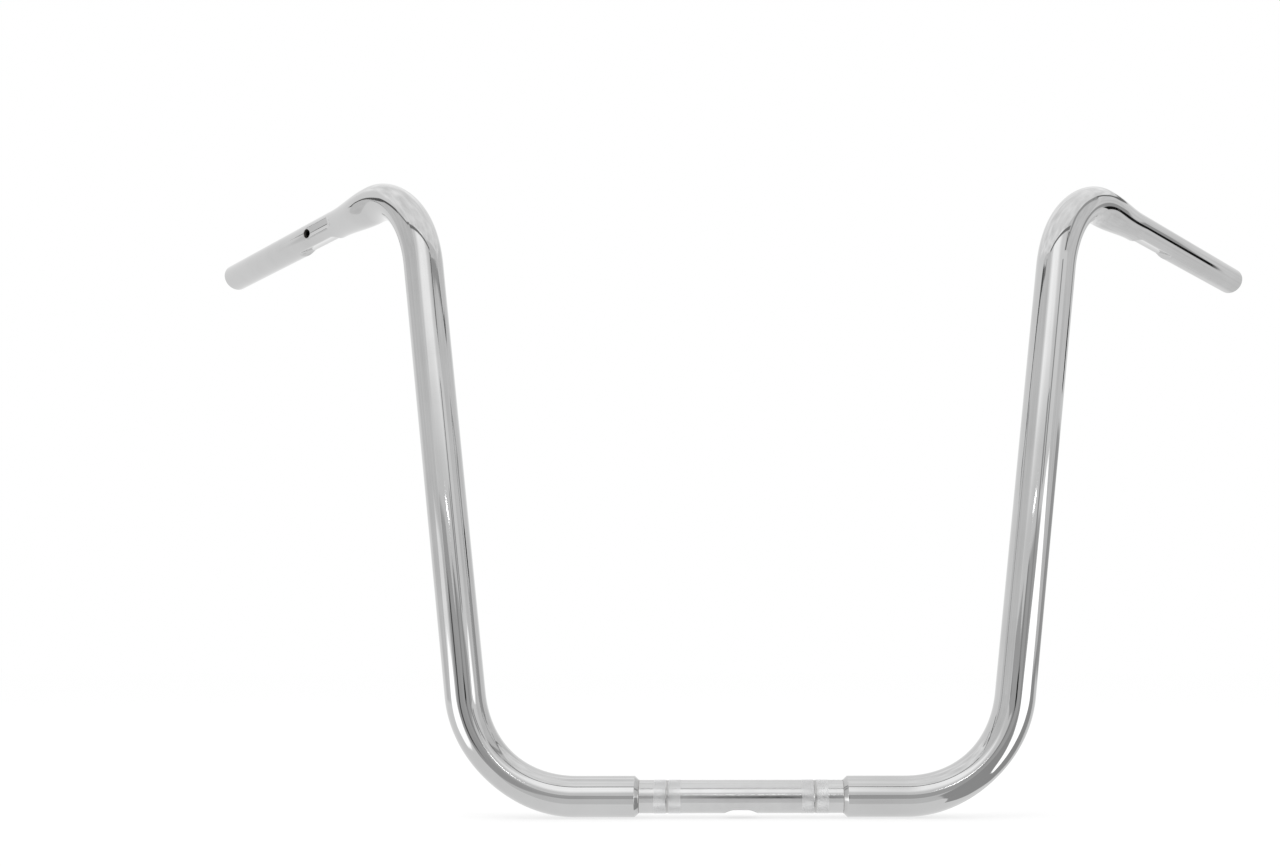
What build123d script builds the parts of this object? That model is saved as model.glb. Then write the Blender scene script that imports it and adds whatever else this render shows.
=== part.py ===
from build123d import *
from math import cos, pi, radians, sin, tan
import os

# Ape hanger handlebar: two bent bar tubes, swaged down for the hand grips, sleeved and welded over the ends
# of a straight clamp tube. Millimetres and degrees. The origin is the middle of the clamp tube, +X runs along
# it to the rider's left side, +Y points back to the rider and +Z up along the risers.

# Clamp tube
clamp_diameter = 25.4
clamp_wall = 3.0
clamp_gap = 160.0  # bare tube between the two shoulders
wire_slot_length = 25.4
wire_slot_width = 16.0
clamp_end_chamfer = 0.8

# Bar tube at the shoulder
bar_diameter = 31.75
sleeve_clearance = 0.1  # on the radius, between the clamp tube and the bar tube's bore
sleeve_setback = 10.0  # from the clamp tube's end to the start of the lower bend
shoulder_land = 0.475  # flat ring left at the shoulder, inside its chamfer
shoulder_run = 48.0  # straight tube from the shoulder to the lower bend

# Bends and riser, measured on the tube's centreline
lower_bend_radius = 88.9
riser_lean = 7.0  # outwards from upright
riser_length = 350.0
upper_bend_radius = 76.2
grip_sweep = 47.5  # back from straight out to the side
bend_flattening = 0.09  # share of the diameter lost across the middle of a bend
bend_spread = 0.035  # share gained square to that
bend_spans = 6  # sections along a bend, less one

# Swage and hand grip
swage_lead = 5.0  # straight tube from the upper bend to the swage
swage_length = 60.0
grip_diameter = 25.4
grip_length = 225.0
rim_share = 0.26  # rim fillet, as a share of the wall

# Wiring dimples and holes under the hand controls, placed from the tube's open end. Both grips have the
# underside dimple, and the right grip has the front one as well.
front_dimple_length = 50.0
front_dimple_radius = 7.0  # across the grip
front_dimple_depth = 2.2
front_dimple_inset = 205.0  # to the dimple's middle
front_dimple_clock = 9.0  # turned down from the front of the grip
under_dimple_length = 72.0
under_dimple_radius = 40.0
under_dimple_depth = 4.0
under_dimple_inset = 187.0
under_dimple_clock = 112.0
dimple_end_round = 6.5
wire_hole_diameter = 8.0
wire_hole_margin = 4.0  # from a dimple's end to its hole's middle

# Sizes that follow
clamp_bore = clamp_diameter - 2 * clamp_wall
bar_bore = clamp_diameter + 2 * sleeve_clearance
bar_wall = (bar_diameter - bar_bore) / 2
grip_bore = grip_diameter - 2 * bar_wall
shoulder_chamfer = bar_wall - shoulder_land
rim_fillet = rim_share * bar_wall
clamp_tube_length = clamp_gap + 2 * (shoulder_run - sleeve_setback)

# The left bar's centreline: corner points where the straight runs would meet
UP = Vector(0, 0, 1)
OUT = Vector(1, 0, 0)
riser_direction = Vector(sin(radians(riser_lean)), 0, cos(radians(riser_lean)))
grip_direction = Vector(cos(radians(grip_sweep)), sin(radians(grip_sweep)), 0)
lower_turn = OUT.get_angle(riser_direction)
upper_turn = riser_direction.get_angle(grip_direction)
lower_cut = lower_bend_radius * tan(radians(lower_turn / 2))
upper_cut = upper_bend_radius * tan(radians(upper_turn / 2))

shoulder = OUT * (clamp_gap / 2)
lower_start = shoulder + OUT * shoulder_run
lower_end = lower_start + (OUT + riser_direction) * lower_cut
upper_start = lower_end + riser_direction * riser_length
upper_end = upper_start + (riser_direction + grip_direction) * upper_cut
swage_start = upper_end + grip_direction * swage_lead
grip_end = swage_start + grip_direction * (swage_length + grip_length)

straight_runs = (
    (shoulder, OUT, shoulder_run),
    (lower_end, riser_direction, riser_length),
    (upper_end, grip_direction, swage_lead),
)
bends = (
    (lower_start, lower_end, OUT, OUT.cross(riser_direction)),
    (upper_start, upper_end, riser_direction, riser_direction.cross(grip_direction)),
)
grip_front = grip_direction.cross(UP)
grip_axis = Axis(swage_start, grip_direction)
swage_plane = Plane(origin=swage_start, x_dir=grip_direction, z_dir=grip_front)


def grip_side(clock):
    """Gives the direction out of the grip's side, turned down from its front."""
    return grip_front * cos(radians(clock)) - UP * sin(radians(clock))


def grip_point(inset):
    """Gives the point on the grip's axis at a distance from its open end."""
    return grip_end - grip_direction * inset


def grip_form(bar_size, grip_size):
    """Makes the swage and the grip as one solid round form, from its two diameters."""
    full_length = swage_length + grip_length
    with BuildPart() as form:
        with BuildSketch(swage_plane):
            with BuildLine():
                flank = Spline((0, bar_size / 2), (swage_length, grip_size / 2), tangents=((1, 0), (1, 0)))
                side = Line(flank @ 1, (full_length, grip_size / 2))
                Polyline(side @ 1, (full_length, 0), (0, 0), flank @ 0)
            make_face()
        revolve(axis=grip_axis)
    return form.part


def dimple_punch(inset, clock, length, radius, depth, wall):
    """Makes the round-ended barrel that presses one dimple into the grip, grown by a wall's thickness."""
    side = grip_side(clock)
    stand_off = grip_diameter / 2 + radius - depth
    middle = grip_point(inset) + side * stand_off
    with BuildPart() as punch:
        with BuildSketch(Plane(origin=middle, x_dir=side, z_dir=side.cross(grip_direction))) as half_section:
            Rectangle(radius + wall, length + 2 * wall, align=(Align.MIN, Align.CENTER))
            fillet(half_section.vertices().group_by(Axis.X)[-1], radius=dimple_end_round + wall)
        revolve(axis=Axis(middle, grip_direction))
    return punch.part


def wire_hole(inset, clock):
    """Makes the drill for one wire hole, from the grip's axis out through its side."""
    with BuildPart() as drill:
        with Locations(Plane(origin=grip_point(inset), z_dir=grip_side(clock))):
            Cylinder(wire_hole_diameter / 2, grip_diameter, align=(Align.CENTER, Align.CENTER, Align.MIN))
    return drill.part


# Clamp tube, with its wire slot through the underside
with BuildPart() as clamp_tube:
    with BuildSketch(Plane.YZ):
        Circle(clamp_diameter / 2)
        Circle(clamp_bore / 2, mode=Mode.SUBTRACT)
    extrude(amount=clamp_tube_length / 2, both=True)
    end_rims = clamp_tube.faces().filter_by(Axis.X).edges().filter_by(GeomType.CIRCLE)
    chamfer(end_rims, length=clamp_end_chamfer)
    with BuildSketch(Plane.XY):
        SlotOverall(wire_slot_length, wire_slot_width)
    extrude(amount=-clamp_diameter, mode=Mode.SUBTRACT)

# Each dimple is pressed by a punch, and the punch grown by the wall leaves the pressed wall behind it. The
# front dimple has its wire hole at the outer end, and the underside dimple at the inner end.
grip_outline = grip_form(bar_diameter, grip_diameter)
front_dimple = (
    front_dimple_inset,
    front_dimple_clock,
    front_dimple_length,
    front_dimple_radius,
    front_dimple_depth,
)
front_wall = dimple_punch(*front_dimple, wall=bar_wall) & grip_outline
front_punch = dimple_punch(*front_dimple, wall=0)
front_hole = wire_hole(front_dimple_inset - front_dimple_length / 2 + wire_hole_margin, front_dimple_clock)
under_dimple = (
    under_dimple_inset,
    under_dimple_clock,
    under_dimple_length,
    under_dimple_radius,
    under_dimple_depth,
)
under_wall = dimple_punch(*under_dimple, wall=bar_wall) & grip_outline
under_punch = dimple_punch(*under_dimple, wall=0)
under_hole = wire_hole(under_dimple_inset + under_dimple_length / 2 - wire_hole_margin, under_dimple_clock)

# Left bar tube: the outside is made first, and the same runs then cut the bore
with BuildPart() as left_bar:
    for diameter, grip_size, mode in (
        (bar_diameter, grip_diameter, Mode.ADD),
        (bar_bore, grip_bore, Mode.SUBTRACT),
    ):
        for start, direction, length in straight_runs:
            with BuildSketch(Plane(origin=start, z_dir=direction)):
                Circle(diameter / 2)
            extrude(amount=length, mode=mode)
        for start, end, entry, bend_normal in bends:
            with BuildLine() as bend:
                TangentArc(start, end, tangent=entry)
            for station in range(bend_spans + 1):
                along = station / bend_spans
                swell = sin(pi * along) ** 2
                section = Plane(origin=bend.line @ along, x_dir=bend_normal, z_dir=bend.line % along)
                with BuildSketch(section):
                    Ellipse(
                        diameter / 2 * (1 + bend_spread * swell),
                        diameter / 2 * (1 - bend_flattening * swell),
                    )
            sweep(multisection=True, mode=mode)
        add(grip_form(diameter, grip_size), mode=mode)
    shoulder_rim = left_bar.edges().filter_by(GeomType.CIRCLE).group_by(Axis.X)[0].sort_by(SortBy.LENGTH)[-1]
    chamfer(shoulder_rim, length=shoulder_chamfer)
    end_rims = left_bar.edges().filter_by(GeomType.CIRCLE).group_by(grip_axis)[-1]
    fillet(end_rims, radius=rim_fillet)
    add(under_wall)
    add((under_punch, under_hole), mode=Mode.SUBTRACT)

# Right bar tube: the left one's mirror image, with the front dimple and its wire hole
with BuildPart() as right_bar:
    mirror((left_bar.part, front_wall), about=Plane.YZ)
    mirror((front_punch, front_hole), about=Plane.YZ, mode=Mode.SUBTRACT)

os.makedirs("parts", exist_ok=True)
clamp_tube.part.label = "clamp_tube"
left_bar.part.label = "left_bar"
right_bar.part.label = "right_bar"
export_step(clamp_tube.part, "parts/clamp_tube.step")
export_step(left_bar.part, "parts/left_bar.step")
export_step(right_bar.part, "parts/right_bar.step")
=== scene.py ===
"""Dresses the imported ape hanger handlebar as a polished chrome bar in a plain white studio.

Everything is in metres in the part's own frame: the origin is the middle of the clamp tube, +X runs along it
to the rider's left side, +Y points back to the rider and +Z up along the risers. A bar tube is made the way
the real one is: a straight tube is swaged at one end, dimpled and drilled for its wiring, and bent twice.
"""
import logging
import math
from dataclasses import dataclass, field
from enum import Enum

import bpy
import numpy as np
from mathutils import Matrix, Vector


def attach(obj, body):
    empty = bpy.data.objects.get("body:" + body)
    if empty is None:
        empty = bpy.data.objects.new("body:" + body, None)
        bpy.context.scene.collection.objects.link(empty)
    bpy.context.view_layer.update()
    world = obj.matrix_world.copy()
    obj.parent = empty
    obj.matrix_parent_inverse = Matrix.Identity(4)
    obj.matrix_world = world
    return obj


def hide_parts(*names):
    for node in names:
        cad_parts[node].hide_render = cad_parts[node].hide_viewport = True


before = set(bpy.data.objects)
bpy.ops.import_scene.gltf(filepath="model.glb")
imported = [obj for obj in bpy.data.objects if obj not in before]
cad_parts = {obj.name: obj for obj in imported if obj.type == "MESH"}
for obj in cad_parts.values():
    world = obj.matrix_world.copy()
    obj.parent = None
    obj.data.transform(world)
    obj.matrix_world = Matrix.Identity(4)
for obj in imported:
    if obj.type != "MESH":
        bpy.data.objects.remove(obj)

LOG = logging.getLogger("handlebar")
BODY = "root"
PHOTO_WIDTH = 1280
PHOTO_HEIGHT = 866
MM = 0.001
FAR = 1.0  # past any radius of the tubes
TINY = 1e-9  # keeps a divisor from zero
FULL_TURN = 2 * math.pi
WHITE = (1.0, 1.0, 1.0, 1.0)
BLACK = (0.0, 0.0, 0.0, 1.0)
LIP_APPROACH = (0.4, 0.75, 0.93, 1.0)  # rings from an opening's border to its lip, as shares of the way
LIP_BEVELS = (math.pi / 6, math.pi / 3, math.pi / 2)  # rings over the lip's round
# share of painted shade and grime on an opening's rounded lip
LIP_GRIME_AND_SHADE = 0.7
LIFT_PASSES = 6  # rounds that settle where a flat plan's points meet the curved tube
GROOVE_SHAPE = ((0.1, 0.5), (0.25, 1.0), (0.75, 1.0), (0.9, 0.5))  # shares of a groove's width and depth
KNURLING_PASSES = 4.0  # two on each of the two bands

NodeValue = float | int | bool | tuple | bpy.types.ID | bpy.types.NodeSocket
Place = tuple[float, float, float]
Spot = tuple[float, float]
Profile = list[Spot]


class Side(Enum):
    """A bar tube's side, as the rider sits, with the way it runs along X."""

    LEFT = 1
    RIGHT = -1

    @property
    def node(self) -> str:
        """Name of the CAD node on this side."""
        return f"{self.name.lower()}_bar"


class Graph:
    """A node tree, with short calls for adding and joining its nodes."""

    def __init__(self, tree: bpy.types.NodeTree) -> None:
        """Takes the geometry or shader node tree to work on."""
        self.tree = tree

    def sockets(self, kinds: dict[str, str], is_output: bool = False) -> None:
        """Adds inputs or outputs to the tree's interface.

        Args:
            kinds: Each socket's type, without the leading NodeSocket, by the socket's name.
            is_output: True for outputs.
        """
        way = "OUTPUT" if is_output else "INPUT"
        for name, kind in kinds.items():
            self.tree.interface.new_socket(name=name, in_out=way, socket_type=f"NodeSocket{kind}")

    def feed(self, socket: bpy.types.NodeSocket, value: NodeValue) -> None:
        """Links or sets one input.

        Args:
            socket: The input.
            value: Another node's output, or a plain value.
        """
        if isinstance(value, bpy.types.NodeSocket):
            self.tree.links.new(value, socket)
        else:
            socket.default_value = value

    def add(
        self, kind: str, inputs: dict[str | int, NodeValue] | None = None, **settings: NodeValue | str
    ) -> bpy.types.Node:
        """Adds a node.

        Args:
            kind: The node's type name.
            inputs: Values or links for its inputs, by name or number.
            **settings: Properties of the node itself.

        Returns:
            The new node.
        """
        made = self.tree.nodes.new(kind)
        for name, value in settings.items():
            setattr(made, name, value)
        for key, value in (inputs or {}).items():
            self.feed(made.inputs[key], value)
        return made

    def math(self, operation: str, *values: NodeValue) -> bpy.types.NodeSocket:
        """Adds a Math node with its inputs in order, and gives its output."""
        return self.add("ShaderNodeMath", dict(enumerate(values)), operation=operation).outputs[0]

    def combine(self, **axes: NodeValue) -> bpy.types.NodeSocket:
        """Adds a vector with the parts X, Y and Z that are given, and 0 for the others."""
        return self.add("ShaderNodeCombineXYZ", axes).outputs[0]

    def noise(
        self, place: NodeValue, scale: NodeValue, detail: float, roughness: float = 0.5
    ) -> bpy.types.NodeSocket:
        """Adds a noise pattern and gives its value."""
        inputs = {"Vector": place, "Scale": scale, "Detail": detail, "Roughness": roughness}
        return self.add("ShaderNodeTexNoise", inputs).outputs["Fac"]

    def dress(self, shape: NodeValue, finish: NodeValue, where: NodeValue = True) -> bpy.types.NodeSocket:
        """Adds a Set Material node and gives the dressed geometry."""
        inputs = {"Geometry": shape, "Selection": where, "Material": finish}
        return self.add("GeometryNodeSetMaterial", inputs).outputs[0]

    def vector(self, operation: str, *values: NodeValue) -> bpy.types.NodeSocket:
        """Adds a Vector Math node.

        Args:
            operation: The node's operation.
            *values: Its inputs, in order; the second input of SCALE is the factor.

        Returns:
            The node's output, a number for DOT_PRODUCT and a vector otherwise.
        """
        keys = (0, "Scale") if operation == "SCALE" else range(len(values))
        made = self.add("ShaderNodeVectorMath", dict(zip(keys, values)), operation=operation)
        return made.outputs["Value" if operation == "DOT_PRODUCT" else "Vector"]

    def ramp(self, value: NodeValue, low: float, high: float) -> bpy.types.NodeSocket:
        """Adds a smooth step of a value, from 0 where it is low to 1 where it is high."""
        inputs = {"Value": value, "From Min": low, "From Max": high}
        return self.add("ShaderNodeMapRange", inputs, interpolation_type="SMOOTHSTEP").outputs["Result"]

    def mix(self, share: NodeValue, first: NodeValue, second: NodeValue) -> bpy.types.NodeSocket:
        """Adds a mix of two colours.

        Args:
            share: How much of the second colour shows, from 0 to 1.
            first: The first colour.
            second: The second colour.

        Returns:
            The mixed colour.
        """
        made = self.add("ShaderNodeMix", {"Factor": share}, data_type="RGBA")
        ends = [socket for socket in made.inputs if socket.type == "RGBA"]
        self.feed(ends[0], first)
        self.feed(ends[1], second)
        return next(socket for socket in made.outputs if socket.type == "RGBA")


def apply_nodes(piece: bpy.types.Object, tree: bpy.types.NodeTree, values: dict[str, NodeValue]) -> None:
    """Runs a geometry tree on a piece and keeps the result as its plain mesh.

    Args:
        piece: The object, already in the scene.
        tree: The geometry node tree.
        values: The tree's inputs, by name.
    """
    modifier = piece.modifiers.new(tree.name, "NODES")
    modifier.node_group = tree
    for item in tree.interface.items_tree:
        if item.item_type == "SOCKET" and item.name in values:
            modifier[item.identifier] = values[item.name]
    depsgraph = bpy.context.evaluated_depsgraph_get()
    rough = piece.data
    piece.data = bpy.data.meshes.new_from_object(
        piece.evaluated_get(depsgraph), preserve_all_data_layers=True, depsgraph=depsgraph
    )
    piece.data.name = piece.name
    piece.modifiers.clear()
    bpy.data.meshes.remove(rough)


def add_piece(name: str, mesh: bpy.types.Mesh) -> bpy.types.Object:
    """Puts a mesh in the scene as an object at the origin.

    Args:
        name: The object's name.
        mesh: Its mesh.

    Returns:
        The new object.
    """
    piece = bpy.data.objects.new(name, mesh)
    bpy.context.scene.collection.objects.link(piece)
    return piece


def report_piece(piece: bpy.types.Object) -> None:
    """Logs a finished piece with its face count."""
    LOG.info("%s: %d faces", piece.name, len(piece.data.polygons))


def start_material(name: str) -> tuple[bpy.types.Material, Graph, bpy.types.Node]:
    """Starts a material with a plain shader.

    Args:
        name: The material's name.

    Returns:
        The material, its graph and the shader.
    """
    material = bpy.data.materials.new(name)
    material.use_nodes = True
    return material, Graph(material.node_tree), material.node_tree.nodes["Principled BSDF"]


@dataclass(frozen=True)
class PlatingMarks:
    """How a plated surface varies: waves left by the polisher, hand smears, and darkening in crevices that
    is painted shade together with grime.
    """

    smear_from: float = 0.35
    smear_to: float = 0.75
    smear_roughness: float = 0.62
    smear_haze: float = 0.16
    speck_scale: float = 900.0
    speck_height: float = 0.004
    # strength of the crevice darkening, painted shade with grime, and of its speckle
    grime_base: float = 0.4
    grime_speckle: float = 0.8
    grime_dulling: float = 0.25

    def build(self) -> bpy.types.ShaderNodeTree:
        """Builds the group that all the plated finishes share.

        Returns:
            The shader node group.
        """
        tree = bpy.data.node_groups.new("plating_marks", "ShaderNodeTree")
        graph = Graph(tree)
        graph.sockets({"Plate": "Color", "Grime": "Color"})
        graph.sockets(dict.fromkeys(("Gloss Low", "Gloss High", "Smear Scale", "Wave Scale"), "Float"))
        graph.sockets({"Colour": "Color", "Roughness": "Float", "Height": "Float"}, is_output=True)
        given = graph.add("NodeGroupInput").outputs
        place = graph.add("ShaderNodeTexCoord").outputs["Object"]
        # the crevice mark: painted shade in the grooves, at the weld and on hole lips, along with grime
        # there
        crevice = graph.add("ShaderNodeAttribute", attribute_name="crevice").outputs["Fac"]
        smear = graph.noise(place, given["Smear Scale"], detail=5.0, roughness=self.smear_roughness)
        speck = graph.noise(place, self.speck_scale, detail=3.0)
        wave = graph.noise(place, given["Wave Scale"], detail=1.0)
        smeared = graph.ramp(smear, self.smear_from, self.smear_to)
        patches = graph.math("MULTIPLY_ADD", speck, self.grime_speckle, self.grime_base)
        grime_and_shade_mask = graph.math("MULTIPLY", crevice, patches)
        spread = graph.math("SUBTRACT", given["Gloss High"], given["Gloss Low"])
        gloss = graph.math("MULTIPLY_ADD", smeared, spread, given["Gloss Low"])
        haze = graph.math("MULTIPLY", smeared, self.smear_haze)
        tinted = graph.mix(haze, given["Plate"], given["Grime"])
        # the crevice mark darkens the colour towards the grime colour: painted shade and grime
        made = {
            "Colour": graph.mix(grime_and_shade_mask, tinted, given["Grime"]),
            "Roughness": graph.math("MULTIPLY_ADD", grime_and_shade_mask, self.grime_dulling, gloss),
            "Height": graph.math("MULTIPLY_ADD", speck, self.speck_height, wave),
        }
        graph.add("NodeGroupOutput", made)
        return tree


@dataclass(frozen=True)
class PlatedFinish:
    """A metal finish whose colour, gloss and surface come from the shared plating group."""

    name: str
    plate: tuple[float, float, float]
    # colour of the hand smears, and of the painted shade and grime in crevices
    grime: tuple[float, float, float]
    gloss: tuple[float, float]
    smear_scale: float
    wave_scale: float
    wave_height: float

    def make(self, marks: bpy.types.ShaderNodeTree) -> bpy.types.Material:
        """Builds the material.

        Args:
            marks: The shared plating group.

        Returns:
            The new material.
        """
        material, graph, shader = start_material(self.name)
        shader.inputs["Metallic"].default_value = 1.0
        values = {
            "Plate": (*self.plate, 1.0),
            "Grime": (*self.grime, 1.0),
            "Gloss Low": self.gloss[0],
            "Gloss High": self.gloss[1],
            "Smear Scale": self.smear_scale,
            "Wave Scale": self.wave_scale,
        }
        made = graph.add("ShaderNodeGroup", values, node_tree=marks).outputs
        relief = {"Height": made["Height"], "Strength": 1.0, "Distance": self.wave_height}
        graph.feed(shader.inputs["Base Color"], made["Colour"])
        graph.feed(shader.inputs["Roughness"], made["Roughness"])
        graph.feed(shader.inputs["Normal"], graph.add("ShaderNodeBump", relief).outputs["Normal"])
        return material


POLISHED_CHROME = PlatedFinish(
    name="polished_chrome",
    plate=(0.56, 0.561, 0.562),
    grime=(0.3, 0.295, 0.29),
    gloss=(0.03, 0.075),
    smear_scale=14.0,
    wave_scale=26.0,
    wave_height=0.00003,
)
SATIN_CHROME = PlatedFinish(
    name="satin_chrome",
    plate=(0.575, 0.576, 0.577),
    grime=(0.32, 0.315, 0.31),
    gloss=(0.12, 0.22),
    smear_scale=30.0,
    wave_scale=60.0,
    wave_height=0.00003,
)
KNURLED_CHROME = PlatedFinish(
    name="knurled_chrome",
    plate=(0.7, 0.702, 0.705),
    grime=(0.34, 0.335, 0.33),
    gloss=(0.26, 0.4),
    smear_scale=60.0,
    wave_scale=120.0,
    wave_height=0.00002,
)
BORE_STEEL = PlatedFinish(
    name="bore_steel",
    plate=(0.2, 0.19, 0.18),
    grime=(0.07, 0.06, 0.05),
    gloss=(0.4, 0.62),
    smear_scale=45.0,
    wave_scale=70.0,
    wave_height=0.0002,
)


@dataclass(frozen=True)
class Dimple:
    """A round-ended hollow that is pressed into a grip's side to make room for wiring."""

    inset: float
    degrees: float
    length: float
    radius: float
    depth: float
    hole_end: int
    end_round: float = 6.5 * MM
    tube_radius: float = 12.7 * MM

    def reach(self, past_middle: np.ndarray, turn: np.ndarray, wall: np.ndarray) -> np.ndarray:
        """Gives the distance from the tube's axis to the pressed surface.

        Args:
            past_middle: Places along the tube, from the dimple's middle.
            turn: Angles round the tube, from the dimple's middle.
            wall: Depth below the tube's outside, 0 on the outside and the wall's thickness in the bore.

        Returns:
            The distance, or a far one where nothing is pressed.
        """
        stand_off = self.tube_radius + self.radius - self.depth
        past_end = np.maximum(np.abs(past_middle) - (self.length / 2 - self.end_round), 0)
        end_room = (self.end_round + wall) ** 2 - past_end**2
        barrel = self.radius - self.end_round + np.sqrt(np.maximum(end_room, 0))
        room = barrel**2 - (stand_off * np.sin(turn)) ** 2
        pressed = stand_off * np.cos(turn) - np.sqrt(np.maximum(room, 0))
        return np.where((end_room > 0) & (room > 0) & (np.cos(turn) > 0), pressed, FAR)


@dataclass(frozen=True)
class Opening:
    """A round hole, or a slot that runs along the tube, through its wall."""

    along: float
    clock: float
    radius: float
    half_straight: float
    half_block: tuple[int, int]
    outer_radius: float
    inner_radius: float
    lip: float

    def edge(self, border: np.ndarray) -> np.ndarray:
        """Finds where the lines from the opening's middle to some points cross its edge.

        Args:
            border: Points round the opening, as distances along and across the tube from its middle.

        Returns:
            The points on the edge.
        """
        way = border / np.linalg.norm(border, axis=1, keepdims=True)
        lean = self.half_straight * np.abs(way[:, 0])
        round_end = lean + np.sqrt(np.maximum(lean**2 - self.half_straight**2 + self.radius**2, 0))
        flat_side = self.radius / np.maximum(np.abs(way[:, 1]), TINY)
        on_flat = flat_side * np.abs(way[:, 0]) <= self.half_straight
        return way * np.where(on_flat, flat_side, round_end)[:, None]


@dataclass
class TubeShell:
    """A straight tube along X with its wall, its pressed dimples and its openings, as one closed mesh.

    The outside and the bore have the same number of stations, so that an opening joins the two. Each dimple
    comes with its place along the tube and its angle round it.
    """

    outside: Profile
    bore: Profile
    wall: float
    first_clock: float = 0.0
    sides: int = 96
    press_softness: float = 1.8 * MM
    dimples: list[tuple[Dimple, float, float]] = field(default_factory=list)
    openings: list[Opening] = field(default_factory=list)
    # crevices along the outside, each with its place and width, that get painted shade and grime
    grime: Profile = field(default_factory=list)

    def __post_init__(self) -> None:
        """Lays out the ring of stations, along the outside and back through the bore."""
        self.stations = self.outside + self.bore[::-1]
        self.points: list[np.ndarray] = []
        self.grime_marks: list[np.ndarray] = []
        self.faces: list[tuple[int, ...]] = []
        self.bore_faces: list[bool] = []
        self.count = 0

    def skin(self, opening: Opening, in_bore: bool) -> tuple[np.ndarray, np.ndarray]:
        """Gives the radius before pressing at an opening, and the depth below the outside."""
        radius, depth = (opening.inner_radius, self.wall) if in_bore else (opening.outer_radius, 0.0)
        return np.array(radius), np.array(depth)

    def surface(
        self, along: np.ndarray, clock: np.ndarray, rest: np.ndarray, wall: np.ndarray
    ) -> np.ndarray:
        """Gives the distance from the tube's axis to its surface, dimples and all.

        Args:
            along: Places along the tube.
            clock: Angles round it.
            rest: Radius before pressing.
            wall: Depth below the outside.

        Returns:
            The distance at each place.
        """
        radius = rest + 0 * clock
        for dimple, middle, middle_clock in self.dimples:
            pressed = dimple.reach(along - middle, clock - middle_clock, wall)
            blend = np.maximum(self.press_softness - np.abs(radius - pressed), 0) / self.press_softness
            radius = np.minimum(radius, pressed) - blend**2 * self.press_softness / 4
        return radius

    def keep(self, points: np.ndarray, grime: np.ndarray) -> np.ndarray:
        """Adds points to the mesh.

        Args:
            points: Their places, one row each.
            grime: How much painted shade and grime each gets, from 0 to 1.

        Returns:
            The points' numbers.
        """
        first = self.count
        self.points.append(points)
        self.grime_marks.append(grime)
        self.count += len(points)
        return np.arange(first, self.count)

    def join(self, ring: np.ndarray, next_ring: np.ndarray, in_bore: bool) -> None:
        """Joins two closed rings of points with faces.

        Args:
            ring: The numbers of one ring's points.
            next_ring: The numbers of the next ring's points.
            in_bore: True for faces that take the bore's finish.
        """
        for a, b, c, d in zip(ring, next_ring, np.roll(next_ring, -1), np.roll(ring, -1)):
            self.faces.append((int(a), int(b), int(c), int(d)))
            self.bore_faces.append(in_bore)

    def lay_grid(self) -> np.ndarray:
        """Adds the points of every station.

        Returns:
            Their numbers, one row for each station.
        """
        along, rest = (np.array(column)[:, None] for column in zip(*self.stations))
        clock = self.first_clock + np.arange(self.sides) * FULL_TURN / self.sides
        wall = np.repeat((0.0, self.wall), len(self.outside))[:, None]
        radius = self.surface(along, clock[None, :], rest, wall)
        places = np.stack((along + 0 * radius, radius * np.cos(clock), radius * np.sin(clock)), axis=-1)
        grime = np.zeros(radius.shape)
        # painted shade and grime, fading out from each crevice along the outside
        for middle, width in self.grime:
            on_outside = wall == 0
            grime = np.maximum(grime, on_outside * np.clip(1 - np.abs(along - middle) / width, 0, 1))
        return self.keep(places.reshape(-1, 3), grime.ravel()).reshape(radius.shape)

    def lift(self, opening: Opening, flat: np.ndarray, in_bore: bool, sink: float) -> np.ndarray:
        """Sets points of an opening's flat plan on the tube's surface.

        Args:
            opening: The opening.
            flat: Points as distances along and across the tube from the opening's middle.
            in_bore: True for the bore's surface, and False for the outside.
            sink: How far the points then move towards the tube's axis.

        Returns:
            Their places.
        """
        rest, wall = self.skin(opening, in_bore)
        radius = rest
        for _ in range(LIFT_PASSES):
            turn = np.arcsin(np.clip(flat[:, 1] / radius, -1, 1))
            radius = self.surface(flat[:, 0] + opening.along, turn + opening.clock, rest, wall)
        turn = np.arcsin(np.clip(flat[:, 1] / radius, -1, 1))
        height = radius * np.cos(turn) - sink
        outward = np.array((0.0, math.cos(opening.clock), math.sin(opening.clock)))
        across = np.array((0.0, -math.sin(opening.clock), math.cos(opening.clock)))
        places = height[:, None] * outward + flat[:, 1:] * across
        places[:, 0] = flat[:, 0] + opening.along
        return places

    def opening_rings(
        self, opening: Opening, along: np.ndarray, turn: np.ndarray, in_bore: bool
    ) -> list[np.ndarray]:
        """Gives the rings of points from an opening's border, over its rounded lip, into the wall.

        Args:
            opening: The opening.
            along: The border's places along the tube, from the opening's middle.
            turn: The border's angles round the tube, from the opening's middle.
            in_bore: True for the bore's surface, and False for the outside.

        Returns:
            The rings, one array of points each.
        """
        rest, wall = self.skin(opening, in_bore)
        facing = -1 if in_bore else 1
        radius = self.surface(along + opening.along, turn + opening.clock, rest, wall)
        border = np.stack((along, radius * np.sin(turn)), axis=1)
        edge = opening.edge(border)
        way = edge / np.linalg.norm(edge, axis=1, keepdims=True)
        lip_start = edge + way * opening.lip
        rings = []
        for share in LIP_APPROACH:
            rings.append(self.lift(opening, border + (lip_start - border) * share, in_bore, 0.0))
        for bevel in LIP_BEVELS:
            spot = edge + way * opening.lip * (1 - math.sin(bevel))
            rings.append(self.lift(opening, spot, in_bore, facing * opening.lip * (1 - math.cos(bevel))))
        return rings

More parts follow.
